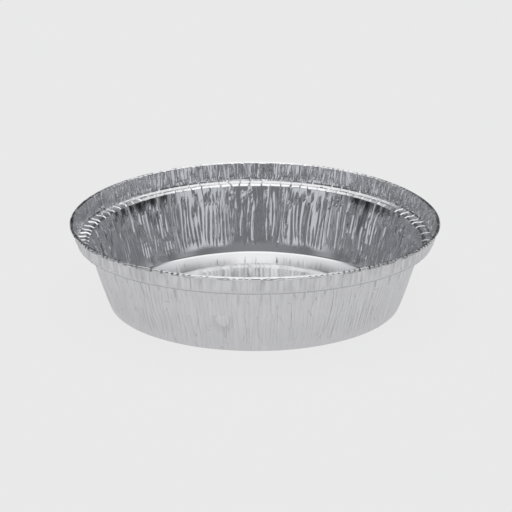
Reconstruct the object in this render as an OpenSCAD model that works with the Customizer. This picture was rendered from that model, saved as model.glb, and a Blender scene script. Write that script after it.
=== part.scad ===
// Round foil tin, pressed from one disc of aluminium foil.
// The disc has no cuts, so the foil that is drawn up into the wall gathers into pleats.
// Lengths are in millimetres. The tin stands on the plane z = 0 and is centred on the Z axis.
// Diameters and heights are taken on the food side of the foil, unless a comment says otherwise.

/* [Rim] */
// Outside diameter across the rolled bead
rim_d = 182; // [179:1:196]
// Height of the tin, from the resting plane to the top of the bead
height = 44; // [40:0.5:60]
// Diameter of the rolled bead's round section
bead_d = 1.9; // [1.5:0.1:3]
// How far the foil turns round in the bead, in degrees
bead_turn = 290; // [180:10:310]
// How much lower the soft rim hangs at the left and right than at the front and back
rim_sag = 1.7; // [0:0.1:3]

/* [Ledge] */
// Diameter of the ledge's outer edge, at the foot of the collar
ledge_outer_d = 175; // [169:0.5:178]
// Diameter of the ledge's inner edge, at the top of the wall
ledge_inner_d = 164; // [156:0.5:170]
// Height of the level ledge above the resting plane
ledge_h = 34.1; // [26:0.1:39]
// Width of the lip that slopes from the level ledge down to the wall
lip_w = 1.5; // [0.5:0.1:3]
// How much lower the top of the wall lies than the ledge
lip_fall = 0.7; // [0.2:0.1:2]

/* [Wall and base] */
// Diameter at which the straight line of the wall meets the base
foot_d = 143; // [130:1:160]
// Radius of the corner between the wall and the base
corner_r = 1.4; // [1:0.1:6]
// Height at which the pleats of the wall begin
pleat_start_h = 6.5; // [5:0.5:12]
// Diameter of the stiffening ring that is pressed up in the base
ring_d = 103; // [70:1:115]
// Width of that ring
ring_w = 9; // [5:0.5:14]
// Height of that ring above the base
ring_h = 0.5; // [0.3:0.1:2]

/* [Foil] */
// Thickness of the foil
foil_t = 0.09; // [0.06:0.01:0.2]

/* [Pleats] */
// Number of pleats around the tin
pleats = 100; // [60:2:100]
// Depth of the deepest pleats in the wall, from fold to fold
wall_pleat = 1.1; // [0.2:0.1:1.6]
// Depth of the deepest pleats across the ledge
ledge_pleat = 0.7; // [0.1:0.05:0.9]
// Depth of the deepest wrinkles in the collar
collar_pleat = 0.45; // [0.05:0.05:0.6]
// Share of its depth that the shallowest pleat keeps
pleat_least = 0.2; // [0.1:0.05:1]
// How far a fold may stray sideways, as a share of the space between two folds
fold_stray = 0.2; // [0:0.02:0.24]
// How far a fold may lean between its foot and the ledge, as a share of the same space
fold_lean = 0.4; // [0:0.02:0.48]
// Another number gives other pleats
pleat_seed = 7; // [1:1:99]

/* [Hidden] */

// Steps around the tin: a fold outwards and a fold inwards for each pleat, and half as many
// where the foil is plain
fine = 2 * pleats;
coarse = pleats;

// Straight pieces in the arcs of the section
corner_pieces = 2;
bead_pieces = 6;

// Places on the wall where the depth of the pleats changes, from the first folds to the ledge
wall_rows = [0.22, 0.48, 0.76];
// Share of the full depth of the pleats at each of those places
wall_depths = [0.65, 1, 0.95];
// Share of the depth of the pleats at the top of the wall
edge_share = 0.8;
// How far below its edge the wall runs over into the lip
edge_cut = 0.35;
// Share of the ledge's pleats that still shows at the foot of the collar
crease_share = 0.12;

function unit(v) = v / norm(v);
function turn_left(v) = [-v[1], v[0]];
function polar(angle) = [cos(angle), sin(angle)];
function mix(a, b, share) = a + (b - a) * share;

// A row of the section: where it lies, half the depth of its pleats and its steps around
function row(point, swing, steps) = [point, swing, steps];

// Straight line of the wall, on the food side
wall_foot = [foot_d / 2, foil_t];
ledge_inner = [ledge_inner_d / 2, ledge_h - lip_fall];
lip_top = [ledge_inner_d / 2 + lip_w, ledge_h];
ledge_outer = [ledge_outer_d / 2, ledge_h];
wall_way = unit(ledge_inner - wall_foot);
wall_angle = atan2(wall_way[1], wall_way[0]);

// The base is flat, with one ring pressed up in it, which falls off more gently inwards
function ring_row(share, rise) =
    row([ring_d / 2 + ring_w * share, foil_t + ring_h * rise], 0, coarse);

base_rows = [
    row([0, foil_t], 0, 1),
    ring_row(-0.5, 0),
    ring_row(0.07, 1),
    ring_row(0.25, 1),
    ring_row(0.5, 0),
];

// A round corner that leaves one straight line and meets another
corner_reach = corner_r * tan(wall_angle / 2);
corner_centre = wall_foot + [-corner_reach, corner_r];

corner_rows = [
    for (i = [0 : corner_pieces])
        row(corner_centre + corner_r * polar(-90 + wall_angle * i / corner_pieces), 0, coarse)
];

// The wall is plain up to the first folds, and pleated from there to the ledge
pleat_foot = mix(wall_foot, ledge_inner, pleat_start_h / ledge_inner[1]);
wall_top = ledge_inner - edge_cut * wall_way;

wall_rows_all = concat(
    [row(pleat_foot, 0, fine)],
    [
        for (i = [0 : len(wall_rows) - 1])
            row(mix(pleat_foot, wall_top, wall_rows[i]), wall_pleat / 2 * wall_depths[i], fine)
    ],
    [row(wall_top, wall_pleat / 2 * edge_share, fine)]
);

// The lip leads up to the ledge, which runs level to the crease at the foot of the collar
ledge_rows = [
    row(lip_top, ledge_pleat / 2, fine),
    row(ledge_outer, ledge_pleat / 2 * crease_share, fine),
];

// The collar stands up from the crease and runs into the bead without a corner
bead_r = bead_d / 2;
bead_centre = [rim_d / 2 - bead_r, height - bead_r];
to_bead = bead_centre - ledge_outer;
collar_lean = acos(bead_r / norm(to_bead)) - atan2(to_bead[1], to_bead[0]);
bead_start = 180 - collar_lean;

collar_rows = [
    row(mix(ledge_outer, bead_centre + bead_r * polar(bead_start), 0.5), collar_pleat / 2, fine),
];

bead_rows = [
    for (i = [0 : bead_pieces])
        row(bead_centre + bead_r * polar(bead_start - bead_turn * i / bead_pieces), 0, coarse)
];

section = concat(base_rows, corner_rows, wall_rows_all, ledge_rows, collar_rows, bead_rows);
last = len(section) - 1;

function at(k) = section[k][0];
function swing(k) = section[k][1];
function steps(k) = section[k][2];

// Way across the foil at a row, from the underside to the food side, drawn out at each bend
// so that the foil keeps its thickness on both sides of it
function way_on(k) = turn_left(unit(at(k + 1) - at(k)));
function across(k) =
    k == 0 ? [0, 1]
    : k == last ? way_on(last - 1)
    : (way_on(k - 1) + way_on(k)) / (1 + way_on(k - 1) * way_on(k));

// Each fold has its own place, lean and depth. A fold's depth changes from row to row.
fold_places = rands(-fold_stray, fold_stray, fine, pleat_seed);
fold_leans = rands(-fold_lean / 2, fold_lean / 2, fine, pleat_seed + 1);
function fold_depths(k) = rands(pleat_least, 1, fine, pleat_seed + 2 + k);

// Angle of a fold at a row: it strays and leans only where the foil is pleated
function height_share(k) = at(k)[1] / ledge_h - 0.5;
function fold_angle(i, k) =
    360 / fine * (i + (swing(k) > 0 ? fold_places[i] + fold_leans[i] * height_share(k) : 0));

// The soft rim hangs lower at the left and right
function sag(angle, z) = rim_sag * cos(angle) * cos(angle) * min(1, z / ledge_h);

function place(p, angle) = [p[0] * cos(angle), p[0] * sin(angle), p[1] - sag(angle, p[1])];

// Points of one row, on the food side at depth 0 and on the underside at depth foil_t
function plain_ring(k, depth) = [
    for (i = [0 : steps(k) - 1])
        place(at(k) - across(k) * depth, 360 / steps(k) * i)
];
function pleated_ring(k, depth) = [
    let (depths = fold_depths(k))
        for (i = [0 : fine - 1])
            let (fold = (i % 2 == 0 ? 1 : -1) * depths[i] * swing(k))
                place(at(k) + across(k) * (fold - depth), fold_angle(i, k))
];
function ring(k, depth) = swing(k) > 0 ? pleated_ring(k, depth) : plain_ring(k, depth);
function skin(depth) = [for (k = [0 : last]) each ring(k, depth)];

// Number of a skin's first point in each row, and of its points in all
starts = [for (k = 0, n = 0; k <= last + 1; n = n + (k <= last ? steps(k) : 0), k = k + 1) n];
skin_size = starts[last + 1];

// Number of a point, counted around the row
function point(k, i) = starts[k] + i % steps(k);

// Triangles between two rows of a skin
function fan(k) = [for (i = [0 : steps(k + 1) - 1]) [point(k, 0), point(k + 1, i + 1), point(k + 1, i)]];
function strip(k) = [
    for (i = [0 : steps(k) - 1])
        each [
            [point(k, i), point(k, i + 1), point(k + 1, i + 1)],
            [point(k, i), point(k + 1, i + 1), point(k + 1, i)],
        ]
];
function widening(k) = [
    for (i = [0 : steps(k) - 1])
        each [
            [point(k, i), point(k + 1, 2 * i + 1), point(k + 1, 2 * i)],
            [point(k, i), point(k, i + 1), point(k + 1, 2 * i + 1)],
            [point(k, i + 1), point(k + 1, 2 * i + 2), point(k + 1, 2 * i + 1)],
        ]
];
function narrowing(k) = [
    for (i = [0 : steps(k + 1) - 1])
        each [
            [point(k, 2 * i), point(k, 2 * i + 1), point(k + 1, i)],
            [point(k, 2 * i + 1), point(k + 1, i + 1), point(k + 1, i)],
            [point(k, 2 * i + 1), point(k, 2 * i + 2), point(k + 1, i + 1)],
        ]
];
function between(k) =
    steps(k) == 1 ? fan(k)
    : steps(k) < steps(k + 1) ? widening(k)
    : steps(k) > steps(k + 1) ? narrowing(k)
    : strip(k);

food_side = [for (k = [0 : last - 1]) each between(k)];
underside = [for (f = food_side) [f[2] + skin_size, f[1] + skin_size, f[0] + skin_size]];

// Cut edge of the foil, at the end of the bead's roll
foil_edge = [
    for (i = [0 : steps(last) - 1])
        each [
            [point(last, i), point(last, i + 1), skin_size + point(last, i + 1)],
            [point(last, i), skin_size + point(last, i + 1), skin_size + point(last, i)],
        ]
];

module tin() {
    color("silver")
        polyhedron(
            points = concat(skin(0), skin(foil_t)),
            faces = concat(food_side, underside, foil_edge),
            convexity = 8
        );
}

tin();
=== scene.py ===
import math
from collections import namedtuple

import bpy
import numpy as np
from bpy.props import FloatProperty, FloatVectorProperty, IntProperty, PointerProperty
from bpy.types import Operator, Panel, PropertyGroup
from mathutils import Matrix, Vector


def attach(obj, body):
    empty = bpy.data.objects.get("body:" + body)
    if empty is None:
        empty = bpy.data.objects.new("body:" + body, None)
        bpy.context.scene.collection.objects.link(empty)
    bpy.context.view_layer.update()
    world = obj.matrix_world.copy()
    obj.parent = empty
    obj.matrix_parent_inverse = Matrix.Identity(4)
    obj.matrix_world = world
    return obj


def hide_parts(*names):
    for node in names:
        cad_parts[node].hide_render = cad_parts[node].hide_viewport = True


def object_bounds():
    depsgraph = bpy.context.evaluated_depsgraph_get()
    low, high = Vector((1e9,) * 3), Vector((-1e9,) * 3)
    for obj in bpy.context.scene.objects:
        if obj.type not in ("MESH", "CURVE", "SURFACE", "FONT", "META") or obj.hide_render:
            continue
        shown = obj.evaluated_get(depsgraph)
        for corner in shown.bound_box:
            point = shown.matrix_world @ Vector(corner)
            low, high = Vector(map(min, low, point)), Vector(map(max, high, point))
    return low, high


bl_info = {
    "name": "Foil tin",
    "version": (1, 0, 0),
    "blender": (4, 5, 0),
    "location": "View3D > Sidebar > Foil tin",
    "description": "Presses a round foil tin around its packed solid and sets its studio stage",
    "category": "Add Mesh",
}

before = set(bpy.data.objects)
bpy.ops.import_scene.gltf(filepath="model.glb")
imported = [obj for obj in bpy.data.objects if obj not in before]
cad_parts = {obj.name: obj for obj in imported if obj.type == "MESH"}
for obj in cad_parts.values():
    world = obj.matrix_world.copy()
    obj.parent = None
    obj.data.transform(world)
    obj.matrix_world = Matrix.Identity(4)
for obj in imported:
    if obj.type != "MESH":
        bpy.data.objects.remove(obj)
CAD_LOW, CAD_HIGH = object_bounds()
MM = 0.001


def linear(code):
    """Turns an sRGB hex colour such as "#D8D9DB" into linear red, green and blue."""
    shares = [int(code[i:i + 2], 16) / 255 for i in (1, 3, 5)]
    return [c / 12.92 if c <= 0.04045 else ((c + 0.055) / 1.055) ** 2.4 for c in shares]


def length(name, default, description):
    """A length in metres, for a property group."""
    return FloatProperty(
        name=name, description=description, default=default, min=0.0, unit="LENGTH", precision=5
    )


def swatch(name, code, description):
    """A colour from its sRGB hex code, for a property group."""
    return FloatVectorProperty(
        name=name, description=description, default=linear(code), min=0.0, max=1.0,
        subtype="COLOR",
    )


class TinSizes(PropertyGroup):
    """Section of the tin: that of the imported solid, with a soft belly in the wall."""

    rim_d: length("Rim diameter", CAD_HIGH.x - CAD_LOW.x, "Outside, across the rolled bead")
    height: length("Height", CAD_HIGH.z, "From the resting plane to the top of the bead")
    bead_d: length("Bead", 1.9 * MM, "Diameter of the rolled bead's section")
    rim_sag: length("Rim sag", 1.7 * MM, "How much lower the rim hangs at the left and right")
    ledge_outer_d: length("Ledge outside", 175 * MM, "Diameter at the foot of the collar")
    ledge_inner_d: length("Ledge inside", 164 * MM, "Diameter at the top of the wall")
    ledge_h: length("Ledge height", 34.5 * MM, "Height of the ledge's outer edge")
    ledge_fall: length("Ledge fall", 1.1 * MM, "How much lower the ledge's inner edge lies")
    foot_d: length("Foot", 143 * MM, "Diameter at which the wall meets the base")
    corner_r: length("Corner", 1.4 * MM, "Radius between wall and base")
    ring_d: length("Ring", 103 * MM, "Diameter of the ring pressed up in the base")
    ring_w: length("Ring width", 9 * MM, "Width of that ring")
    ring_h: length("Ring height", 0.5 * MM, "Height of that ring")
    belly: length("Belly", 0.2 * MM, "How far the wall bows out above its foot")
    belly_h: length("Belly height", 5.5 * MM, "Height at which it bows out furthest")
    lip_w: length("Lip", 1.5 * MM, "Width of the slope from the wall up to the ledge")
    shelf_drop: length("Shelf", 0.38 * MM, "How much lower than the ledge's edge it lies level")
    foil_t: length("Foil", 0.09 * MM, "Thickness of the foil")


class TinPleats(PropertyGroup):
    """Folds and wrinkles, where the foil has gathered."""

    seam_depth: length("Seams", 0.42 * MM, "Depth of the creases that cross the ledge")
    seam_down: length("Seam length", 34.0 * MM, "How far the longest creases run down the wall")
    hollow_depth: length("Hollows", 0.45 * MM, "Depth of the short hollows under the ledge")
    panel_depth: length("Panels", 0.45 * MM, "How far the foil bulges between the creases")
    fold_start_h: length("Folds from", 2.3 * MM, "Height at which the lowest wall folds begin")
    fold_spread: length("Fold spread", 3.6 * MM, "How much higher the other folds begin")
    fold_tip: length("Fold tip", 2.4 * MM, "Length of a fold's lower point")
    ledge_depth: length("Ledge pleats", 0.25 * MM, "Step from one pleat to the next on the ledge")
    collar_depth: length("Collar wrinkles", 0.65 * MM, "Depth of the wrinkles in the collar")
    crimp_depth: length("Crimps", 0.1 * MM, "Depth of the crimps in the bead")
    crimp_twist: length("Crimp twist", 0.33 * MM, "How far each crimp turns the bead")
    fold_slope: FloatProperty(
        name="Fold slope", description="Steepness of the wall folds' flanks", default=0.5,
        min=0.0, max=2.0,
    )
    seed: IntProperty(name="Seed", description="Another number gives other pleats", default=24)


class TinFinish(PropertyGroup):
    """Colours of the two sides of the foil."""

    bright: swatch("Bright side", "#EFEFF0", "Food side of the foil")
    matt: swatch("Matt side", "#DDDDDF", "Outside of the foil")


class TinStage(PropertyGroup):
    """Floor, light and camera."""

    floor: swatch("Floor", "#EAEAEA", "Pale table that the tin stands on")
    elevation: FloatProperty(
        name="Camera elevation", description="Angle above the table", subtype="ANGLE",
        default=math.radians(19.12),
    )
    distance: length("Camera distance", 1.375, "From the camera to the aim point")
    aim_h: length("Aim height", 23.1 * MM, "Height that the camera aims at")
    aim_x: length("Aim aside", 0.5 * MM, "How far right of the tin's axis the camera aims")
    lens_px: FloatProperty(
        name="Focal length", description="In pixels of a 512 pixel frame", default=2787.0
    )


# A row of points around the foil: its place in the section, its steps around, and the shares
# to which it belongs to each part of the tin
PARTS = ("wall", "ledge", "collar", "bead", "base")
Row = namedtuple("Row", ("at", "steps", *PARTS), defaults=(0.0,) * len(PARTS))

FOLDS = 250  # Wall folds around the tin
PLEATS = 100  # Pleats around the ledge, each with a crease
FOLD_STEPS = 4  # A fold's left foot, its ridge, its right foot and the flat up to the next one
FULL_STEPS = FOLDS * FOLD_STEPS
PLEAT_STEPS = FULL_STEPS // PLEATS
BASE_STEPS = FULL_STEPS // 4
HALF_STEPS = FULL_STEPS // 2
CRIMP_STEPS = 5  # Steps from one crimp of the bead to the next
BASE_SHARES = (0.35, 0.7)  # Rows of the plain base, as shares of the way to the ring
RING_ROWS = 9
RING_CREST = 0.67  # Share of the ring's width, from the inside, at which it is highest
CORNER_ROWS = 4
# Rows of the wall in millimetres, close together low down where the folds' points are
WALL_HEIGHTS = (2.3, 3.0, 3.7, 4.5, 5.3, 6.2, 7.2, 8.6, 10.5, 12.8, 15.2, 17.6, 20.0, 22.4, 24.6,
                26.6, 28.2, 29.6, 30.8, 31.9)
EDGE_ROWS = 2
EDGE_RADIUS = 0.5 * MM  # Where the wall turns over into the lip
LIP_RADIUS = 0.9 * MM  # Where the lip turns over into the level ledge
SHELF_ROWS = 2
FILLET_ROWS = 2
FILLET_RADIUS = 1.3 * MM  # Where the ledge turns up into the collar
LEDGE_IN_FILLET = 0.3  # Share of the ledge's pleats that goes on into the fillet
COLLAR_ROWS = 6
# The roll of the bead isn't quite round: angle in degrees, share of its radius
BEAD_POINTS = ((150, 0.92), (96, 1.0), (57, 0.97), (26, 1.0), (3, 1.03), (-52, 0.96), (-122, 1.0))
DENT_TURN = math.radians(258.6)  # Place of the one dent in the wall, left of the front
DENT_HEIGHT = 22 * MM
DENT_HALF_WIDTH = 4 * MM
DENT_REACH = 8 * MM
DENT_DEPTH = 0.35 * MM
NO_DENT = -9.0  # Lies below every tone that the matt foil has for its dent


def way(a, b):
    """Unit vector from a to b."""
    return (b - a).normalized()


def polar(angle):
    """Unit vector at an angle in the section's plane."""
    return Vector((math.cos(angle), math.sin(angle)))


def angle_of(v):
    """Angle of a vector in the section's plane."""
    return math.atan2(v.y, v.x)


def round_corner(corner, before, after, radius, pieces):
    """Points of the arc that rounds a corner between two directions, both ends included."""
    turn = angle_of(after) - angle_of(before)
    reach = radius * math.tan(abs(turn) / 2)
    side = math.copysign(1, turn)
    start = corner - before * reach
    centre = start + side * radius * Vector((-before.y, before.x))
    first = angle_of(start - centre)
    return [centre + radius * polar(first + turn * i / pieces) for i in range(pieces + 1)]


def bowed_wall(foot, belly, inner, softness):
    """Points of the wall at the rows' heights, which bow softly from one line to another."""
    points = []
    for z in (height * MM for height in WALL_HEIGHTS):
        below = foot.x + (belly.x - foot.x) * (z - foot.y) / (belly.y - foot.y)
        above = belly.x + (inner.x - belly.x) * (z - belly.y) / (inner.y - belly.y)
        near = max(0.0, 1 - abs(below - above) / softness)
        points.append(Vector((min(below, above) - near * near * softness / 4, z)))
    return points


def base_rows(sizes, corner):
    """Rows of the base with its ring, and of the corner that leads up to the wall."""
    foil_t, ring_start = sizes.foil_t, (sizes.ring_d - sizes.ring_w) / 2
    places = [Vector((ring_start * share, foil_t)) for share in BASE_SHARES]
    for i in range(RING_ROWS + 1):
        share = i / RING_ROWS
        climb = share / RING_CREST if share < RING_CREST else (1 - share) / (1 - RING_CREST)
        rise = sizes.ring_h * (1 - math.cos(math.pi * climb)) / 2
        places.append(Vector((ring_start + sizes.ring_w * share, foil_t + rise)))
    places.append(Vector(((places[-1].x + corner[0].x) / 2, foil_t)))
    rows = [Row(Vector((0.0, foil_t)), 1, base=1.0)]
    rows += [Row(at, BASE_STEPS, base=1.0) for at in places]
    rows += [Row(at, HALF_STEPS, base=1 - i / CORNER_ROWS) for i, at in enumerate(corner)]
    return rows


def make_section(sizes):
    """Rows of the foil's food side, from the middle of the base out and up to the bead's end."""
    straight = Vector((sizes.foot_d / 2, sizes.foil_t))
    inner = Vector((sizes.ledge_inner_d / 2, sizes.ledge_h - sizes.ledge_fall))
    outer = Vector((sizes.ledge_outer_d / 2, sizes.ledge_h))
    bow = Vector((sizes.belly, 0.0))
    foot, belly = straight - bow, straight.lerp(inner, sizes.belly_h / inner.y) + bow

    bead_r = sizes.bead_d / 2
    bead_at = Vector((sizes.rim_d / 2 - bead_r, sizes.height - bead_r))
    to_bead = bead_at - outer
    lean = math.acos(bead_r / to_bead.length) - angle_of(to_bead)
    collar_end = bead_at + bead_r * polar(math.pi - lean)

    flat = Vector((1.0, 0.0))
    up_foot, up_wall, up_collar = way(foot, belly), way(belly, inner), way(outer, collar_end)
    crease = outer - up_collar * (sizes.shelf_drop / up_collar.y)
    lip = Vector((inner.x + sizes.lip_w, crease.y))
    up_lip = way(inner, lip)

    rows = base_rows(sizes, round_corner(foot, flat, up_foot, sizes.corner_r, CORNER_ROWS))

    def add(at, **shares):
        """Adds the next row outwards."""
        rows.append(Row(at, FULL_STEPS, **shares))

    for at in bowed_wall(foot, belly, inner, sizes.belly):
        add(at, wall=1.0)
    for i, at in enumerate(round_corner(inner, up_wall, up_lip, EDGE_RADIUS, EDGE_ROWS)):
        add(at, wall=1 - i / EDGE_ROWS, ledge=i / EDGE_ROWS)
    for at in round_corner(lip, up_lip, flat, LIP_RADIUS, 1):
        add(at, ledge=1.0)
    shelf_start = rows[-1].at
    fillet = round_corner(crease, flat, up_collar, FILLET_RADIUS, FILLET_ROWS)
    for i in range(1, SHELF_ROWS + 1):
        add(shelf_start.lerp(fillet[0], i / (SHELF_ROWS + 1)), ledge=1.0)
    for i, at in enumerate(fillet):
        share = i / FILLET_ROWS
        add(at, ledge=1 - (1 - LEDGE_IN_FILLET) * share, collar=LEDGE_IN_FILLET * share)
    for i in range(1, COLLAR_ROWS + 1):
        share = i / COLLAR_ROWS
        add(fillet[-1].lerp(collar_end, share), ledge=max(0, LEDGE_IN_FILLET - share), collar=1.0)
    for i, (angle, reach) in enumerate(BEAD_POINTS, 1):
        add(bead_at + bead_r * reach * polar(math.radians(angle)), bead=min(1, i / 2))
    return rows


def across(rows):
    """Unit vectors across the foil at each row, from the underside to the food side."""
    ways = [way(a.at, b.at) for a, b in zip(rows, rows[1:])]
    before = [ways[0]] + ways
    after = ways + [ways[-1]]
    both = [(a + b).normalized() for a, b in zip(before, after)]
    return [Vector((-v.y, v.x)) for v in both]


def join_rows(low, high, low_steps, high_steps):
    """Faces between two rows, whose first vertices are low and high."""
    if low_steps > high_steps:
        return [tuple(reversed(f)) for f in join_rows(high, low, high_steps, low_steps)]
    if low_steps == 1:
        return [(low, high + i, high + (i + 1) % high_steps) for i in range(high_steps)]
    faces = []
    per = high_steps // low_steps
    for i in range(low_steps):
        a, b = low + i, low + (i + 1) % low_steps
        tops = [high + (i * per + j) % high_steps for j in range(per + 1)]
        if per == 1:
            faces.append((a, tops[0], tops[1], b))
            continue
        half = per // 2
        faces += [(a, tops[j], tops[j + 1]) for j in range(half)]
        faces.append((a, tops[half], b))
        faces += [(b, tops[j], tops[j + 1]) for j in range(half, per)]
    return faces


def skin_faces(rows, starts):
    """Faces of the food side, the underside and the cut edge at the end of the bead."""
    count = int(starts[-1])
    faces = []
    for k in range(len(rows) - 1):
        faces += join_rows(int(starts[k]), int(starts[k + 1]), rows[k].steps, rows[k + 1].steps)
    food = [tuple(reversed(f)) for f in faces]
    under = [tuple(v + count for v in f) for f in faces]
    end, last = int(starts[-2]), rows[-1].steps
    edge = [
        (end + i, end + (i + 1) % last, end + (i + 1) % last + count, end + i + count)
        for i in range(last)
    ]
    return food + under + edge


def lengths_along(rows):
    """Length of the foil from the middle of the base to each row."""
    along = [0.0]
    for a, b in zip(rows, rows[1:]):
        along.append(along[-1] + (b.at - a.at).length)
    return along


def blank_numbers(rows, column, each):
    """The numbers that the tree forms one skin of the blank by, under their names."""
    ways = across(rows)
    full = each([r.steps == FULL_STEPS for r in rows])
    place = column % FOLD_STEPS
    pleat = (column + PLEAT_STEPS / 2) / PLEAT_STEPS
    return {
        "turn": 2 * math.pi * column / FULL_STEPS,
        "radius": each([r.at.x for r in rows]),
        "height": each([r.at.y for r in rows]),
        "out": each([w.x for w in ways]),
        "up": each([w.y for w in ways]),
        **{"on_" + part: each([getattr(r, part) for r in rows]) for part in PARTS},
        "fold": np.floor(column / FOLD_STEPS),
        "fold_side": full * ((place == 2) * 1.0 - (place == 0)),
        "fold_ridge": full * (place == 1),
        "fold_foot": full * (place < 3),
        "fold_valley": full * (place == 3),
        "pleat": np.floor(pleat),
        "pleat_share": pleat % 1.0,
        "crimp": np.floor(column / CRIMP_STEPS),
        "crimp_fold": column % CRIMP_STEPS < 2,
    }


def draw_blank(name, rows):
    """The flat foil as rows of points, food side first and then the underside."""
    steps = np.array([r.steps for r in rows])

    def each(values):
        """One value a row, given to each point of the row."""
        return np.repeat(np.array(values, float), steps)

    column = np.concatenate([np.arange(n) * (FULL_STEPS / n) for n in steps])
    numbers = blank_numbers(rows, column, each)
    turn, reach = numbers["turn"], each(lengths_along(rows))
    flat = np.stack([reach * np.cos(turn), reach * np.sin(turn), 0 * turn], axis=1)
    # Patterns follow a tube around the rim, on which one size holds all the way around
    rim = rows[-1].at.x
    spot = np.stack([rim * np.cos(turn), rim * np.sin(turn), reach], axis=1)

    mesh = bpy.data.meshes.new(name)
    points = np.concatenate([flat, flat]).tolist()
    mesh.from_pydata(points, [], skin_faces(rows, np.cumsum([0, *steps])))
    both = {key: np.tile(values, 2) for key, values in numbers.items()}
    both["underside"] = np.repeat([0.0, 1.0], len(flat))
    for key, values in both.items():
        layer = mesh.attributes.new(key, "FLOAT", "POINT")
        layer.data.foreach_set("value", values.astype(np.float32))
    layer = mesh.attributes.new("spot", "FLOAT_VECTOR", "POINT")
    layer.data.foreach_set("vector", np.tile(spot, (2, 1)).astype(np.float32).ravel())
    corners = np.zeros(len(mesh.loops), np.int32)
    mesh.loops.foreach_get("vertex_index", corners)
    blank = mesh.uv_layers.new(name="blank")
    blank.uv.foreach_set("vector", np.tile(flat, (2, 1))[corners, :2].astype(np.float32).ravel())
    mesh.update()
    return mesh


MATH = "ShaderNodeMath"
VECTOR = "ShaderNodeVectorMath"
NOISE = "ShaderNodeTexNoise"
RANGE = "ShaderNodeMapRange"
FIELD = "GeometryNodeInputNamedAttribute"
SMOOTH = {"interpolation_type": "SMOOTHSTEP"}  # For a range: soft at both of its ends
CLAMPED = {"use_clamp": True}


def put(tree, kind, *inputs, named=None, **settings):
    """Adds a node and gives its first output in use. Inputs are sockets or values."""
    node = tree.nodes.new(kind)
    for key, value in settings.items():
        setattr(node, key, value)
    for key, value in [*enumerate(inputs), *(named or {}).items()]:
        if value is None:
            continue
        if isinstance(value, bpy.types.NodeSocket):
            tree.links.new(value, node.inputs[key])
        else:
            node.inputs[key].default_value = value
    return next(output for output in node.outputs if output.enabled)


def wander(tree, spot, around_mm, along_mm, seed):
    """Noise from -0.5 to 0.5, with features of about these sizes around and along the foil."""
    scale = (1 / (around_mm * MM), 1 / (around_mm * MM), 1 / (along_mm * MM))
    grown = put(tree, VECTOR, spot, scale, operation="MULTIPLY")
    noise = put(tree, NOISE, grown, seed, noise_dimensions="4D",
                named={"Scale": 1.0, "Detail": 0.0})
    return put(tree, MATH, noise, 0.5, operation="SUBTRACT")


# Inputs of the forming tree besides the blank itself, named as the values they take
PLEAT_INPUTS = tuple(TinPleats.__annotations__)
SIZE_INPUTS = ("foil_t", "rim_sag", "ledge_h")
MATERIAL_INPUTS = ("bright", "matt")

# Random draws, one for each fold, pleat or crimp: number of the draw, least and greatest value
FOLD_STARTS = (1, 0.0, 1.0)
FOLD_STOPS = (2, 23 * MM, 32 * MM)
FOLD_SLOPES = (4, 0.6, 1.25)
FOLD_STRAYS = (5, -0.06, 0.06)
FOLD_LEANS = (22, -0.2, 0.2)
FOLDS_KEPT = (24, 0.0, 1.0)
SEAM_LENGTHS = (7, 0.2, 1.0)
SEAM_HEIGHTS = (8, 0.2, 1.1)
LEDGE_STEPS = (10, -0.8, 1.0)
CRIMPS = (13, 0.1, 1.0)
HOLLOW_LENGTHS = (15, 4.5 * MM, 10 * MM)
HOLLOW_DEPTHS = (16, -0.25, 1.0)  # Where it falls below zero there is no hollow
TICK_TONES = (17, 0.2, 1.0)
TICK_LENGTHS = (20, 4 * MM, 13 * MM)
STANDING_SEAMS = (21, 0.0, 1.0)
UNDER_BEAD_TONES = (19, 0.3, 1.0)
CRIMP_SHADE_TONES = (23, 0.1, 1.0)
UNDER_LEDGE_TONES = (25, 0.2, 1.6)

# Changes over the foil: size around and along it in millimetres, number of the draw
GAPS = (9.0, 14.0, 3)
SWERVE = (6.0, 18.0, 6)
PANELS = (14.0, 20.0, 9)
WIDE_WRINKLES = (2.4, 12.0, 11)
FINE_WRINKLES = (1.3, 14.0, 12)
BASE_WAVES = (26.0, 26.0, 14)
SLANT = (7.0, 6.0, 18)

FOLDS_APART = 7.31  # Space in the noise from one fold to the next, so that no two are alike
DRAWS_APART, NOISES_APART, CREASES_APART = 31.0, 17.0, 5.0  # The same, from draw to draw

FOLD_PITCH = 2 * math.pi / FOLDS  # Angle from one fold to the next
FOLD_FADE = 3.5 * MM  # Length over which a fold runs out at its top
FOLD_BREAK = 13 * MM  # Length of foil after which a fold may break off and go on
HOLLOW_TOP = 2.2 * MM  # How far below the ledge's edge the hollows begin
WAVE_HEIGHT = 0.08 * MM  # Height of the slow waves in the base
UNDER_BEAD = (43.3 * MM, 42.6 * MM)  # Heights between which the painted shade under the bead sets in
UNDER_LEDGE = (8 * MM, 1.5 * MM)  # How far below the ledge its shade begins and is full


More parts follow.
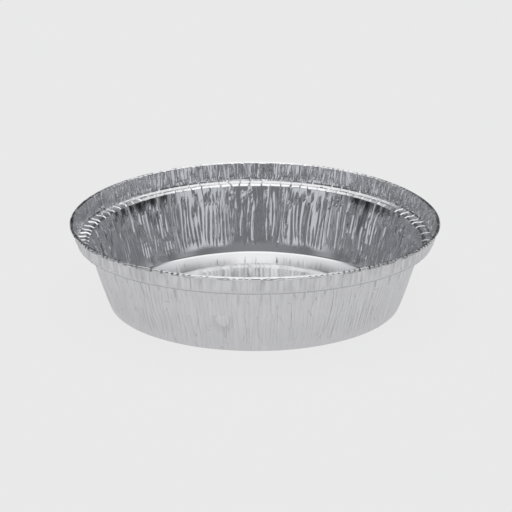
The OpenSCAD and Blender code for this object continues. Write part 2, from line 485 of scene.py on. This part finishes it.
class Press:
    """The forming tree while it is built: its inputs, the blank's numbers and their arithmetic."""

    def __init__(self, tree, blank):
        self.tree = tree
        numbers = [layer.name for layer in blank.attributes if layer.data_type == "FLOAT"]
        entry = tree.nodes.new("NodeGroupInput")
        self.given = {socket.name: socket for socket in entry.outputs if socket.name}
        self.field = {name: self.put(FIELD, name, data_type="FLOAT") for name in numbers}
        self.spot = self.put(FIELD, "spot", data_type="FLOAT_VECTOR")
        self.flat = self.put("GeometryNodeInputPosition")

        turn = self.field["turn"]
        beside = self.put(MATH, turn, operation="COSINE")
        # From 0 at the front and back to 1 at the left and right
        self.side = self.put(MATH, beside, operation="ABSOLUTE")
        # From -1 at the front to 1 at the back
        self.facing = self.put(MATH, turn, operation="SINE")
        # Below 1 at the front, where the foil was held flatter and is nearly plain
        front = self.put(RANGE, self.facing, -0.75, -0.93, **SMOOTH)
        self.calm = self.put(MATH, front, -0.7, 1.0, operation="MULTIPLY_ADD")
        self.from_ledge = self.put(MATH, self.given["ledge_h"], self.field["height"],
                                   operation="SUBTRACT")

    def put(self, kind, *inputs, **settings):
        """Adds a node to this tree."""
        return put(self.tree, kind, *inputs, **settings)

    def times(self, *values):
        """Product of several fields."""
        total = values[0]
        for value in values[1:]:
            total = self.put(MATH, total, value, operation="MULTIPLY")
        return total

    def plus(self, *values):
        """Sum of several fields."""
        total = values[0]
        for value in values[1:]:
            total = self.put(MATH, total, value, operation="ADD")
        return total

    def one_of(self, index, number, low, high):
        """A random value for each fold, pleat or crimp that the index counts."""
        seed = self.put(MATH, self.given["seed"], DRAWS_APART * number, operation="ADD")
        key = self.put("ShaderNodeCombineXYZ", index, seed, number)
        noise = self.put("ShaderNodeTexWhiteNoise", key, noise_dimensions="3D")
        return self.put(RANGE, noise, 0.0, 1.0, low, high)

    def wander(self, around_mm, along_mm, number, where=None):
        """Soft change over the foil, from -0.5 to 0.5."""
        spot = self.spot if where is None else where
        seed = self.put(MATH, self.given["seed"], NOISES_APART * number, operation="ADD")
        return wander(self.tree, spot, around_mm, along_mm, seed)

    def fold_here(self):
        """How far each wall fold is raised at each height, from 0 to 1."""
        height, fold = self.field["height"], self.field["fold"]
        start = self.put(MATH, self.one_of(fold, *FOLD_STARTS), self.given["fold_spread"],
                         self.given["fold_start_h"], operation="MULTIPLY_ADD")
        above = self.put(MATH, height, start, operation="SUBTRACT")
        tip = self.put(MATH, above, self.given["fold_tip"], operation="DIVIDE", **CLAMPED)
        below = self.put(MATH, self.one_of(fold, *FOLD_STOPS), height, operation="SUBTRACT")
        top = self.put(RANGE, below, 0.0, FOLD_FADE)
        line = self.put("ShaderNodeCombineXYZ", self.times(fold, FOLDS_APART),
                        self.put(MATH, height, FOLD_BREAK, operation="DIVIDE"),
                        self.given["seed"])
        unbroken = self.put(NOISE, line, None, named={"Scale": 1.0, "Detail": 0.0})
        unbroken = self.put(RANGE, unbroken, 0.3, 0.39)
        outside_gaps = self.put(RANGE, self.wander(*GAPS), -0.4, -0.25, **SMOOTH)
        # At the left and right a third of the folds are missing
        beside = self.put(RANGE, self.side, 0.55, 0.85, **SMOOTH)
        kept = self.put(MATH, beside, -0.35, self.one_of(fold, *FOLDS_KEPT),
                        operation="MULTIPLY_ADD")
        kept = self.put(RANGE, kept, -0.05, 0.05, **SMOOTH)
        return self.times(tip, top, unbroken, outside_gaps, kept, self.calm,
                          self.field["on_wall"])

    def fold_lift(self, fold_here):
        """Height of the wall folds over the foil between them."""
        pitch = self.times(self.field["radius"], FOLD_PITCH)
        slope = self.times(self.one_of(self.field["fold"], *FOLD_SLOPES),
                           self.given["fold_slope"])
        return self.times(fold_here, 0.3, pitch, slope, self.field["fold_ridge"])

    def fold_shift(self, fold_here):
        """Angle by which the wall folds widen, stray, lean and swerve sideways."""
        height, fold = self.field["height"], self.field["fold"]
        width = self.put(MATH, fold_here, 0.27, 0.05, operation="MULTIPLY_ADD")
        wider = self.put(MATH, width, 0.25, operation="SUBTRACT")
        widen = self.times(self.field["fold_side"], wider)
        stray = self.times(self.field["fold_foot"], self.one_of(fold, *FOLD_STRAYS))
        tall = self.put(MATH, height, self.given["ledge_h"], operation="DIVIDE")
        tall = self.put(MATH, tall, 0.5, operation="SUBTRACT")
        lean = self.times(self.field["fold_foot"], self.one_of(fold, *FOLD_LEANS), tall)
        off_base = self.put(RANGE, height, 2 * MM, 5 * MM, **SMOOTH)
        swerve = self.times(self.wander(*SWERVE), 1.6, off_base)
        return self.times(self.plus(widen, stray, lean, swerve), FOLD_PITCH,
                          self.field["on_wall"])

    def seam_ridge(self):
        """1 on the crease between two pleats, falling to 0 beside it."""
        away = self.put(MATH, self.field["pleat_share"], 0.5, operation="SUBTRACT")
        away = self.put(MATH, away, operation="ABSOLUTE")
        return self.put(RANGE, away, 0.4, 0.5)

    def seam_lift(self, seam_ridge):
        """Height of the creases that cross the ledge and run down the wall."""
        pleat = self.field["pleat"]
        reach = self.times(self.one_of(pleat, *SEAM_LENGTHS), self.given["seam_down"])
        share = self.put(MATH, self.from_ledge, reach, operation="DIVIDE", **CLAMPED)
        left = self.put(MATH, 1.0, share, operation="SUBTRACT")
        left = self.put(RANGE, left, 0.0, 0.35, **SMOOTH)
        on_wall = self.times(left, self.calm, self.field["on_wall"])
        return self.times(seam_ridge, self.one_of(pleat, *SEAM_HEIGHTS),
                          self.given["seam_depth"], self.plus(on_wall, self.field["on_ledge"]))

    def hollow_lift(self):
        """The short hollows under the ledge, where the foil was drawn in between two folds."""
        fold = self.field["fold"]
        share = self.put(MATH, self.from_ledge, HOLLOW_TOP, operation="SUBTRACT")
        share = self.put(MATH, share, self.one_of(fold, *HOLLOW_LENGTHS), operation="DIVIDE",
                         **CLAMPED)
        falls = self.put(RANGE, share, 0.0, 0.5, **SMOOTH)
        rises = self.put(RANGE, share, 1.0, 0.5, **SMOOTH)
        depth = self.put(MATH, self.one_of(fold, *HOLLOW_DEPTHS), 0.0, operation="MAXIMUM")
        return self.times(falls, rises, depth, self.given["hollow_depth"], -1.0,
                          self.field["fold_valley"], self.field["on_wall"])

    def panel_lift(self):
        """Slack foil, which bulges in and out between the creases, and less so at the sides."""
        where = self.plus(self.field["on_wall"], self.times(self.field["on_ledge"], 0.3))
        off_base = self.put(RANGE, self.field["height"], 3 * MM, 12 * MM, **SMOOTH)
        beside = self.put(RANGE, self.side, 0.6, 0.85, **SMOOTH)
        tight = self.put(MATH, beside, -0.6, 1.0, operation="MULTIPLY_ADD")
        return self.times(self.wander(*PANELS), 2.0, self.given["panel_depth"], where,
                          off_base, tight)

    def ledge_lift(self):
        """Pleats of the ledge, which overlap like fish scales."""
        step = self.put(MATH, self.field["pleat_share"], 0.5, operation="SUBTRACT")
        return self.times(step, self.one_of(self.field["pleat"], *LEDGE_STEPS),
                          self.given["ledge_depth"], self.field["on_ledge"])

    def collar_wrinkle(self):
        """Upright wrinkles of the collar, about 0."""
        return self.plus(self.times(self.wander(*WIDE_WRINKLES), 0.8),
                         self.wander(*FINE_WRINKLES))

    def collar_lift(self, wrinkle):
        """Depth of the collar's wrinkles, which is greatest at the limp left and right."""
        beside = self.put(RANGE, self.side, 0.6, 0.9, **SMOOTH)
        limp = self.put(MATH, beside, 1.4, 1.0, operation="MULTIPLY_ADD")
        return self.times(wrinkle, self.given["collar_depth"], self.field["on_collar"], limp)

    def base_lift(self):
        """Slow waves of the base, read from the flat blank, so that none gathers in its middle."""
        wave = self.put(RANGE, self.wander(*BASE_WAVES, where=self.flat), -0.2, 0.3, **SMOOTH)
        return self.times(wave, WAVE_HEIGHT, self.field["on_base"])

    def dent_place(self):
        """How far below the dent's middle and how far inside its rim each point lies."""
        aside = self.put(MATH, self.field["turn"], DENT_TURN, operation="SUBTRACT")
        aside = self.times(aside, self.field["radius"], 1 / DENT_HALF_WIDTH)
        below = self.put(MATH, DENT_HEIGHT, self.field["height"], operation="SUBTRACT")
        below = self.put(MATH, below, DENT_REACH, operation="DIVIDE")
        away = self.put("ShaderNodeCombineXYZ", aside, below)
        away = self.put(VECTOR, away, operation="LENGTH")
        return below, self.put(MATH, 1.0, away, operation="SUBTRACT")

    def seam_tone(self, seam_ridge):
        """Painted shade: dark ticks at the creases under the ledge, and at a few that go on up the
        collar.
        """
        pleat = self.field["pleat"]
        down = self.put(MATH, self.from_ledge, self.one_of(pleat, *TICK_LENGTHS),
                        operation="DIVIDE")
        down = self.put(RANGE, down, 1.0, 0.6, **SMOOTH)
        tick = self.times(down, self.field["on_wall"], self.one_of(pleat, *TICK_TONES))
        few = self.put(RANGE, self.one_of(pleat, *STANDING_SEAMS), 0.6, 0.9, **SMOOTH)
        standing = self.times(few, self.field["on_collar"], 0.7)
        return self.times(seam_ridge, self.plus(tick, standing))

    def bead_shade(self):
        """Shade in the bead: under it, in its crimps, and on its inner side at the back."""
        crimp = self.field["crimp"]
        behind = self.put(RANGE, self.facing, -0.15, 0.1, **SMOOTH)
        outward = self.put(RANGE, self.field["out"], -0.6, 0.1, **SMOOTH)
        # Painted shade in the crimps' folds and on the bead's outward side at the back, towards
        # the left and right
        crimp_shade = self.put(MATH, self.field["crimp_fold"], self.times(outward, behind),
                           operation="MAXIMUM")
        beside = self.put(RANGE, self.side, 0.15, 0.5, **SMOOTH)
        crimp_shade = self.times(crimp_shade, self.one_of(crimp, *CRIMP_SHADE_TONES), beside)
        under = self.put(RANGE, self.field["height"], *UNDER_BEAD, **SMOOTH)
        under = self.times(under, self.one_of(crimp, *UNDER_BEAD_TONES))
        deepest = self.put(MATH, under, crimp_shade, operation="MAXIMUM")
        return self.times(deepest, self.field["on_bead"])

    def corner_shade(self):
        """Shade in the corner between wall and base, at the left and right."""
        bent = self.put(MATH, 1.0, self.field["on_base"], operation="SUBTRACT")
        beside = self.put(RANGE, self.side, 0.55, 0.78, **SMOOTH)
        return self.times(bent, self.field["on_base"], 4.0, beside)

    def ledge_shade(self):
        """Shade on the wall close under the ledge, to the left and right of the back."""
        near = self.put(RANGE, self.from_ledge, *UNDER_LEDGE, **SMOOTH)
        beside = self.times(self.put(RANGE, self.side, 0.46, 0.62, **SMOOTH),
                            self.put(RANGE, self.side, 0.93, 0.8, **SMOOTH))
        return self.times(near, self.one_of(self.field["fold"], *UNDER_LEDGE_TONES), beside,
                          self.field["on_wall"])

    def place(self, lift, twist, shift):
        """Place in space of each point, lifted off the section, twisted and shifted around."""
        field = self.field
        reach = self.plus(self.times(field["out"], lift), self.times(field["up"], twist),
                          field["radius"])
        rise = self.plus(self.times(field["up"], lift), self.times(field["out"], twist, -1.0),
                         field["height"])
        turn = self.plus(field["turn"], *shift)
        cos_turn = self.put(MATH, turn, operation="COSINE")
        sin_turn = self.put(MATH, turn, operation="SINE")
        share = self.put(MATH, rise, self.given["ledge_h"], operation="DIVIDE", **CLAMPED)
        drop = self.times(cos_turn, cos_turn, share, self.given["rim_sag"])
        rise = self.put(MATH, rise, drop, operation="SUBTRACT")
        return self.put("ShaderNodeCombineXYZ", self.times(cos_turn, reach),
                        self.times(sin_turn, reach), rise)


def make_forming_tree(blank):
    """Tree that bends the flat blank into the tin and gathers its pleats."""
    tree = bpy.data.node_groups.new("press_foil_tin", "GeometryNodeTree")
    face = tree.interface
    face.new_socket("Geometry", in_out="OUTPUT", socket_type="NodeSocketGeometry")
    face.new_socket("Geometry", in_out="INPUT", socket_type="NodeSocketGeometry")
    for name in PLEAT_INPUTS + SIZE_INPUTS:
        face.new_socket(name, in_out="INPUT", socket_type="NodeSocketFloat")
    for name in MATERIAL_INPUTS:
        face.new_socket(name, in_out="INPUT", socket_type="NodeSocketMaterial")
    press = Press(tree, blank)
    field, given = press.field, press.given

    fold_here, seam_ridge = press.fold_here(), press.seam_ridge()
    wrinkle = press.collar_wrinkle()
    crimp = press.times(field["crimp_fold"], press.one_of(field["crimp"], *CRIMPS),
                        field["on_bead"])
    below_dent, in_dent = press.dent_place()
    dented = put(tree, RANGE, in_dent, 0.0, 0.6, **SMOOTH)
    lift = press.plus(
        press.fold_lift(fold_here), press.seam_lift(seam_ridge), press.hollow_lift(),
        press.panel_lift(), press.ledge_lift(), press.collar_lift(wrinkle),
        press.times(crimp, given["crimp_depth"], -1.0), press.base_lift(),
        press.times(dented, DENT_DEPTH, field["on_wall"]),
    )
    lift = put(tree, MATH, field["underside"], press.times(given["foil_t"], -1.0), lift,
               operation="MULTIPLY_ADD")
    slant = press.times(press.wander(*SLANT), 2 * FOLD_PITCH, field["on_ledge"])
    place = press.place(lift, press.times(crimp, given["crimp_twist"]),
                        (press.fold_shift(fold_here), slant))
    formed = put(tree, "GeometryNodeSetPosition", given["Geometry"], None, place)

    # Only the lower half of the dent shows: it gets a painted highlight inside its rim, with a
    # painted shade line under it that fades out further down
    upper_half = put(tree, RANGE, below_dent, 0.3, -0.2, **SMOOTH)
    # Fields that the materials turn into painted light and shade: along the folds' ridges and
    # flanks, over the collar's wrinkles, at the seams, in the bead, the corner and under the
    # ledge, and at the dent
    shown = {
        "crease": press.times(fold_here, field["fold_ridge"]),
        "flank": press.times(fold_here, field["fold_side"]),
        "wrinkle": press.times(wrinkle, field["on_collar"]),
        "seam": press.seam_tone(seam_ridge),
        "shade": press.plus(press.bead_shade(), press.corner_shade(), press.ledge_shade()),
        "dent": put(tree, MATH, upper_half, NO_DENT, in_dent, operation="MULTIPLY_ADD"),
    }
    for name, value in shown.items():
        formed = put(tree, "GeometryNodeStoreNamedAttribute", formed, None, name, value,
                     data_type="FLOAT", domain="POINT")
    soft = put(tree, "FunctionNodeCompare", field["on_base"], 0.0, operation="GREATER_THAN")
    formed = put(tree, "GeometryNodeSetShadeSmooth", formed, None, soft)
    formed = put(tree, "GeometryNodeRealizeInstances", formed)
    formed = put(tree, "GeometryNodeSetMaterial", formed, None, given["bright"])
    outside = put(tree, "FunctionNodeCompare", field["underside"], 0.99, operation="GREATER_EQUAL")
    formed = put(tree, "GeometryNodeSetMaterial", formed, outside, given["matt"])
    leave = tree.nodes.new("NodeGroupOutput")
    tree.links.new(formed, leave.inputs["Geometry"])
    return tree


def form(blank, tree, values):
    """Puts the tree on the blank with these inputs and gives the formed tin as a plain mesh."""
    modifier = blank.modifiers.new("form", "NODES")
    modifier.node_group = tree
    for item in tree.interface.items_tree:
        if item.item_type == "SOCKET" and item.in_out == "INPUT" and item.name in values:
            modifier[item.identifier] = values[item.name]
    graph = bpy.context.evaluated_depsgraph_get()
    mesh = bpy.data.meshes.new_from_object(blank.evaluated_get(graph), depsgraph=graph)
    blank.modifiers.remove(modifier)
    return mesh


# Numbers that the formed tin carries at its points, for the materials to read
SHOWN_FIELDS = ("on_wall", "on_ledge", "on_collar", "on_base", "height", "crease", "flank",
                "wrinkle", "seam", "shade", "dent")

# Fine creases: size around and along the foil in millimetres, number of the draw. The real
# ones go down to some hundredths of a millimetre, too fine to show in the render, so the
# finest are drawn as coarse as they need to be, one or two pixels wide.
UPRIGHT_CREASES = ((1.2, 12.0, 1), (0.7, 6.0, 2))
CRUMPLE_CREASES = ((1.8, 16.0, 3), (1.1, 9.0, 4))
CLOUDY_STREAKS = (1.3, 14.0, 5)
DARK_SCRATCHES = (2.2, 22.0, 6)
PALE_SCRATCHES = (2.0, 50.0, 8)
CREASES_FROM = (3.5 * MM, 8 * MM)  # Heights between which the wall's fine creases set in
BRIGHT_CREASE = 0.07  # Depth in millimetres of the wall's fine creases on the bright side
MATT_CREASE = 0.25  # On the matt side, where it takes more to show
COLLAR_CREASE = 0.4  # Depth of the collar's crumple
LEDGE_CRUMPLE = 0.08  # Share of it that the ledge has
COLLAR_FOOT_H = 34.75 * MM  # Height of the sharp fold at the collar's foot, drawn on the outside as a painted shade line


def read_fields(tree):
    """The formed tin's numbers, and the spot on the foil that patterns follow."""
    fields = {
        name: put(tree, "ShaderNodeAttribute", attribute_name=name).node.outputs["Fac"]
        for name in SHOWN_FIELDS
    }
    spot = put(tree, "ShaderNodeAttribute", attribute_name="spot").node
    fields["spot"] = spot.outputs["Vector"]
    return fields


def creases(tree, fields, around_mm, along_mm, number):
    """Sharp valleys between soft rises, from 0 to 0.5."""
    noise = wander(tree, fields["spot"], around_mm, along_mm, CREASES_APART * number)
    return put(tree, MATH, noise, operation="ABSOLUTE")


def add_crinkles(tree, shader, fields, wall_mm):
    """Bump of fine creases: upright ones in the wall, a crumple in the collar."""
    upright, crumple = (
        put(tree, MATH, *(creases(tree, fields, *sizes) for sizes in pair), operation="ADD")
        for pair in (UPRIGHT_CREASES, CRUMPLE_CREASES)
    )
    started = put(tree, RANGE, fields["height"], *CREASES_FROM, 0.0, wall_mm * MM)
    started = put(tree, MATH, started, fields["on_wall"], operation="MULTIPLY")
    higher = put(tree, MATH, fields["on_ledge"], LEDGE_CRUMPLE, fields["on_collar"],
                 operation="MULTIPLY_ADD")
    higher = put(tree, MATH, higher, COLLAR_CREASE * MM, operation="MULTIPLY")
    height = put(tree, MATH, crumple, higher, operation="MULTIPLY")
    height = put(tree, MATH, upright, started, height, operation="MULTIPLY_ADD")
    bump = put(tree, "ShaderNodeBump", named={"Height": height, "Distance": 1.0})
    tree.links.new(bump, shader.inputs["Normal"])


def start_foil(name):
    """A material of bare aluminium, which is metal all through."""
    material = bpy.data.materials.new(name)
    material.use_nodes = True
    shader = material.node_tree.nodes["Principled BSDF"]
    shader.inputs["Metallic"].default_value = 1.0
    return material, material.node_tree, shader


def make_bright_foil(colour):
    """Aluminium foil, cold rolled, the side that ran against the polished steel roll."""
    # The roll leaves it nearly a mirror. Each fold throws its own piece of the studio back, so
    # the wall breaks up into light and dark needles, with hardly any colour of its own.
    material, tree, shader = start_foil("aluminium_foil_bright_rolled")
    fields = read_fields(tree)
    add_crinkles(tree, shader, fields, BRIGHT_CREASE)
    # Other tins in the stack have rubbed the base, which blurs what it mirrors
    rough = put(tree, RANGE, fields["on_base"], 0.0, 1.0, 0.07, 0.14)
    tree.links.new(rough, shader.inputs["Roughness"])
    # Painted shade: in tight corners foil mirrors only foil, over and over, and looks dark at any
    # angle, so the shade field darkens the base colour and the edge tint there: in the bead, in
    # the corner at the sides and on the wall under the ledge
    shade = put(tree, RANGE, fields["shade"], 0.0, 1.0, 1.0, 0.18)
    tint = put(tree, VECTOR, tuple(colour), operation="SCALE", named={"Scale": shade})
    tree.links.new(tint, shader.inputs["Base Color"])
    tree.links.new(shade, shader.inputs["Specular Tint"])
    return material


def collar_foot_shade(tree, fields):
    """Painted shade line, from 0 to 1 in the sharp fold at the foot of the collar, where little
    light gets in.
    """
    away = put(tree, MATH, fields["height"], COLLAR_FOOT_H, operation="SUBTRACT")
    away = put(tree, MATH, away, operation="ABSOLUTE")
    near = put(tree, RANGE, away, 0.4 * MM, 0.1 * MM)
    started = put(tree, MATH, fields["on_collar"], 0.02, operation="GREATER_THAN")
    return put(tree, MATH, near, started, operation="MULTIPLY")


def add_tones(tree, total, tones):
    """Adds each field to the total, turned from its own range into a range of tone."""
    for field, low, high, start, end in tones:
        tone = put(tree, RANGE, field, low, high, start, end)
        total = put(tree, MATH, total, tone, operation="ADD")
    return total


def make_matt_foil(colour):
    """Aluminium foil, cold rolled, the side that ran against another sheet."""
    # The last pass rolls two sheets at once, and the sides that touch come out satin: an even
    # silver grey, with handling as thin dark lines. Its folds, seams, collar foot and dent are
    # drawn on it in painted light and shade, and it is painted darker towards the bottom.
    material, tree, shader = start_foil("aluminium_foil_matt_rolled")
    shader.inputs["Roughness"].default_value = 0.55
    fields = read_fields(tree)
    add_crinkles(tree, shader, fields, MATT_CREASE)
    cloudy = put(tree, RANGE, creases(tree, fields, *CLOUDY_STREAKS), 0.0, 0.25, -0.03, 0.025)
    streaks = add_tones(tree, cloudy, (
        (creases(tree, fields, *DARK_SCRATCHES), 0.012, 0.0, 0.0, -0.2),
        (creases(tree, fields, *PALE_SCRATCHES), 0.03, 0.0, 0.0, 0.035),
    ))
    # The die drags its streaks down the wall and leaves none on the base
    drawn = put(tree, MATH, 1.0, fields["on_base"], operation="SUBTRACT")
    wear_and_painted_light = put(tree, MATH, streaks, drawn, 1.0, operation="MULTIPLY_ADD")
    wear_and_painted_light = add_tones(tree, wear_and_painted_light, (
        # Painted shade: darker towards the bottom of the wall, where it stands on the table
        (fields["height"], 19 * MM, 3 * MM, 0.0, -0.045),
        # Painted shade along the middle of each wall fold
        (fields["crease"], 0.0, 1.0, 0.0, -0.1),
        # Painted light and shade: one flank of each wall fold lighter, the other darker
        (fields["flank"], -1.0, 1.0, -0.045, 0.045),
        # Painted light and shade that follows the depth of the collar's wrinkles
        (fields["wrinkle"], -0.2, 0.2, -0.1, 0.08),
        # Painted shade: dark ticks at the seams
        (fields["seam"], 0.0, 0.8, 0.0, -0.27),
        # Painted shade line along the fold at the collar's foot
        (collar_foot_shade(tree, fields), 0.0, 1.0, 0.0, -0.34),
        # Painted highlight inside the dent's lower rim, and a painted shade line under it that
        # fades out further down
        (fields["dent"], 0.0, 0.1, 0.0, 0.05),
        (fields["dent"], 0.0, -0.06, 0.0, -0.1),
        (fields["dent"], -0.1, -0.7, 0.0, 0.1),
    ))
    tint = put(tree, VECTOR, tuple(colour), operation="SCALE", named={"Scale": wear_and_painted_light})
    tree.links.new(tint, shader.inputs["Base Color"])
    return material


class TIN_OT_press(Operator):
    """Presses the tin from one sheet of foil"""

    bl_idname = "foil_tin.press"
    bl_label = "Press the tin"

    def execute(self, context):
        scene = context.scene
        sizes, pleats, finish = scene.tin_sizes, scene.tin_pleats, scene.tin_finish
        rows = make_section(sizes)
        blank = bpy.data.objects.new("blank", draw_blank("blank", rows))
        scene.collection.objects.link(blank)
        values = {key: float(getattr(pleats, key)) for key in PLEAT_INPUTS}
        values |= {key: getattr(sizes, key) for key in SIZE_INPUTS}
        values["bright"] = make_bright_foil(finish.bright)
        values["matt"] = make_matt_foil(finish.matt)
        mesh = form(blank, make_forming_tree(blank.data), values)
        bpy.data.objects.remove(blank)
        mesh.name = "foil_tin"
        tin = bpy.data.objects.new("foil_tin", mesh)
        scene.collection.objects.link(tin)
        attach(tin, "root")
        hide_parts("tin")
        return {"FINISHED"}


TABLE_HALF = 4.0  # Half the side of the table, wide enough to fill the picture
TABLE_DIFFUSE = (*linear("#4B4B4B"), 1.0)  # Dark enough that the tin's shadow stays faint
TABLE_GLOW = 0.94
PHOTO_PX = 512
SENSOR_W = 36.0  # Blender's own sensor width, in millimetres

# The studio around the tin: angle in degrees from the camera's side, and value there. First
# the brightness low down and higher up, and last the height, as the sine of the angle above
# the table, from which the light from above begins.
LOW_LIGHT = ((0, 0.18), (17, 0.19), (26, 0.62), (50, 0.6), (68, 0.2), (84, 0.07), (95, 0.34),
             (104, 0.34), (114, 0.05), (128, 0.05), (138, 0.38), (146, 0.05), (156, 0.38),
             (164, 0.05), (172, 0.18), (180, 0.14))
MIDDLE_LIGHT = ((0, 0.26), (24, 0.24), (56, 0.12), (76, 0.12), (88, 0.38), (136, 0.38),
                (146, 0.1), (180, 0.1))
LIGHT_EDGE = ((0, 0.6), (14, 0.6), (28, 0.68), (86, 0.68), (104, 0.66), (150, 0.66), (180, 0.6))
LOW_TO_MIDDLE = (0.315, 0.355)  # Sines of the angles between which the one becomes the other
EDGE_BLUR = (-0.06, 0.27)  # How the light from above sets in around its edge
LOW_COLOUR = (0.965, 0.99, 1.05)
TOP_COLOUR = (1.12, 1.12, 1.13, 1.0)


class TIN_OT_stage(Operator):
    """Sets the pale table, the soft studio light and the camera"""

    bl_idname = "foil_tin.stage"
    bl_label = "Set the stage"

    def execute(self, context):
        scene, stage = context.scene, context.scene.tin_stage
        mesh = bpy.data.meshes.new("table")
        half = TABLE_HALF
        corners = [(-half, -half, 0), (half, -half, 0), (half, half, 0), (-half, half, 0)]
        mesh.from_pydata(corners, [], [(0, 1, 2, 3)])
        table = bpy.data.objects.new("table", mesh)
        scene.collection.objects.link(table)
        table.data.materials.append(self.make_table(stage.floor))
        self.light_studio(scene)
        self.place_camera(scene, stage)
        return {"FINISHED"}

    def make_table(self, colour):
        """Opal acrylic, lit from below, so that shadows on it stay faint."""
        material = bpy.data.materials.new("opal_acrylic_light_table")
        material.use_nodes = True
        shader = material.node_tree.nodes["Principled BSDF"]
        shader.inputs["Base Color"].default_value = TABLE_DIFFUSE
        shader.inputs["Roughness"].default_value = 0.9
        shader.inputs["Specular IOR Level"].default_value = 0.0
        shader.inputs["Emission Color"].default_value = (*colour, 1.0)
        shader.inputs["Emission Strength"].default_value = TABLE_GLOW
        return material

    def light_studio(self, scene):
        """Light from above and from two sides of the camera, dark between and beside them."""
        world = bpy.data.worlds.new("studio")
        world.use_nodes = True
        scene.world = world
        tree = world.node_tree
        tree.nodes.clear()
        direction = tree.nodes.new("ShaderNodeTexCoord").outputs["Generated"]
        parts = tree.nodes.new("ShaderNodeSeparateXYZ")
        tree.links.new(direction, parts.inputs[0])
        front = put(tree, MATH, parts.outputs["Y"], -1.0, operation="MULTIPLY")
        aside = put(tree, MATH, parts.outputs["X"], operation="ABSOLUTE")
        azimuth = put(tree, MATH, aside, front, operation="ARCTAN2")
        azimuth = put(tree, MATH, azimuth, math.pi, operation="DIVIDE")
        low = self.around(tree, azimuth, LOW_LIGHT)
        middle = self.around(tree, azimuth, MIDDLE_LIGHT)
        edge = self.around(tree, azimuth, LIGHT_EDGE)
        above = put(tree, MATH, parts.outputs["Z"], edge, operation="SUBTRACT")
        rise = put(tree, RANGE, above, *EDGE_BLUR, **SMOOTH)
        higher = put(tree, RANGE, parts.outputs["Z"], *LOW_TO_MIDDLE)
        level = put(tree, "ShaderNodeMix", higher, None, low, middle)
        low_light = put(tree, VECTOR, LOW_COLOUR, operation="SCALE", named={"Scale": level})
        light = put(tree, "ShaderNodeMix", data_type="RGBA",
                    named={0: rise, 6: low_light, 7: TOP_COLOUR})
        sky = put(tree, "ShaderNodeBackground", light)
        out = tree.nodes.new("ShaderNodeOutputWorld")
        tree.links.new(sky, out.inputs["Surface"])
        scene.view_settings.view_transform = "Standard"

    def around(self, tree, azimuth, levels):
        """Value that changes with the angle from the camera's side, given in degrees."""
        ramp = tree.nodes.new("ShaderNodeValToRGB")
        tree.links.new(azimuth, ramp.inputs[0])
        stops = ramp.color_ramp.elements
        for angle, _ in levels[1:-1]:
            stops.new(angle / 180)
        for stop, (angle, level) in zip(stops, levels):
            stop.color = (level, level, level, 1.0)
        return ramp.outputs[0]

    def place_camera(self, scene, stage):
        """Camera at the photograph's viewing angle."""
        data = bpy.data.cameras.new("camera")
        data.sensor_width = SENSOR_W
        data.lens = stage.lens_px / PHOTO_PX * SENSOR_W
        data.clip_end = 100.0
        camera = bpy.data.objects.new("camera", data)
        scene.collection.objects.link(camera)
        back = Vector((0, -math.cos(stage.elevation), math.sin(stage.elevation)))
        camera.location = Vector((stage.aim_x, 0, stage.aim_h)) + back * stage.distance
        camera.rotation_mode = "QUATERNION"
        camera.rotation_quaternion = (-back).to_track_quat("-Z", "Y")
        scene.camera = camera


class TIN_PT_panel(Panel):
    """Sizes, pleats, colours and stage of the foil tin"""

    bl_idname = "TIN_PT_panel"
    bl_label = "Foil tin"
    bl_space_type = "VIEW_3D"
    bl_region_type = "UI"
    bl_category = "Foil tin"

    def draw(self, context):
        scene = context.scene
        for group in (scene.tin_sizes, scene.tin_pleats, scene.tin_finish, scene.tin_stage):
            box = self.layout.box()
            for key in group.bl_rna.properties.keys():
                if key not in ("rna_type", "name"):
                    box.prop(group, key)
        self.layout.operator(TIN_OT_press.bl_idname)
        self.layout.operator(TIN_OT_stage.bl_idname)


GROUPS = {
    "tin_sizes": TinSizes,
    "tin_pleats": TinPleats,
    "tin_finish": TinFinish,
    "tin_stage": TinStage,
}
CLASSES = (*GROUPS.values(), TIN_OT_press, TIN_OT_stage, TIN_PT_panel)


def register():
    """Makes the add-on's classes known and gives each scene its groups of values."""
    for cls in CLASSES:
        bpy.utils.register_class(cls)
    for name, group in GROUPS.items():
        setattr(bpy.types.Scene, name, PointerProperty(type=group))


def unregister():
    """Takes back what register did."""
    for name in GROUPS:
        delattr(bpy.types.Scene, name)
    for cls in reversed(CLASSES):
        bpy.utils.unregister_class(cls)


def main():
    """Makes the tin and its stage."""
    register()
    bpy.ops.foil_tin.press()
    bpy.ops.foil_tin.stage()


if __name__ == "__main__":
    main()
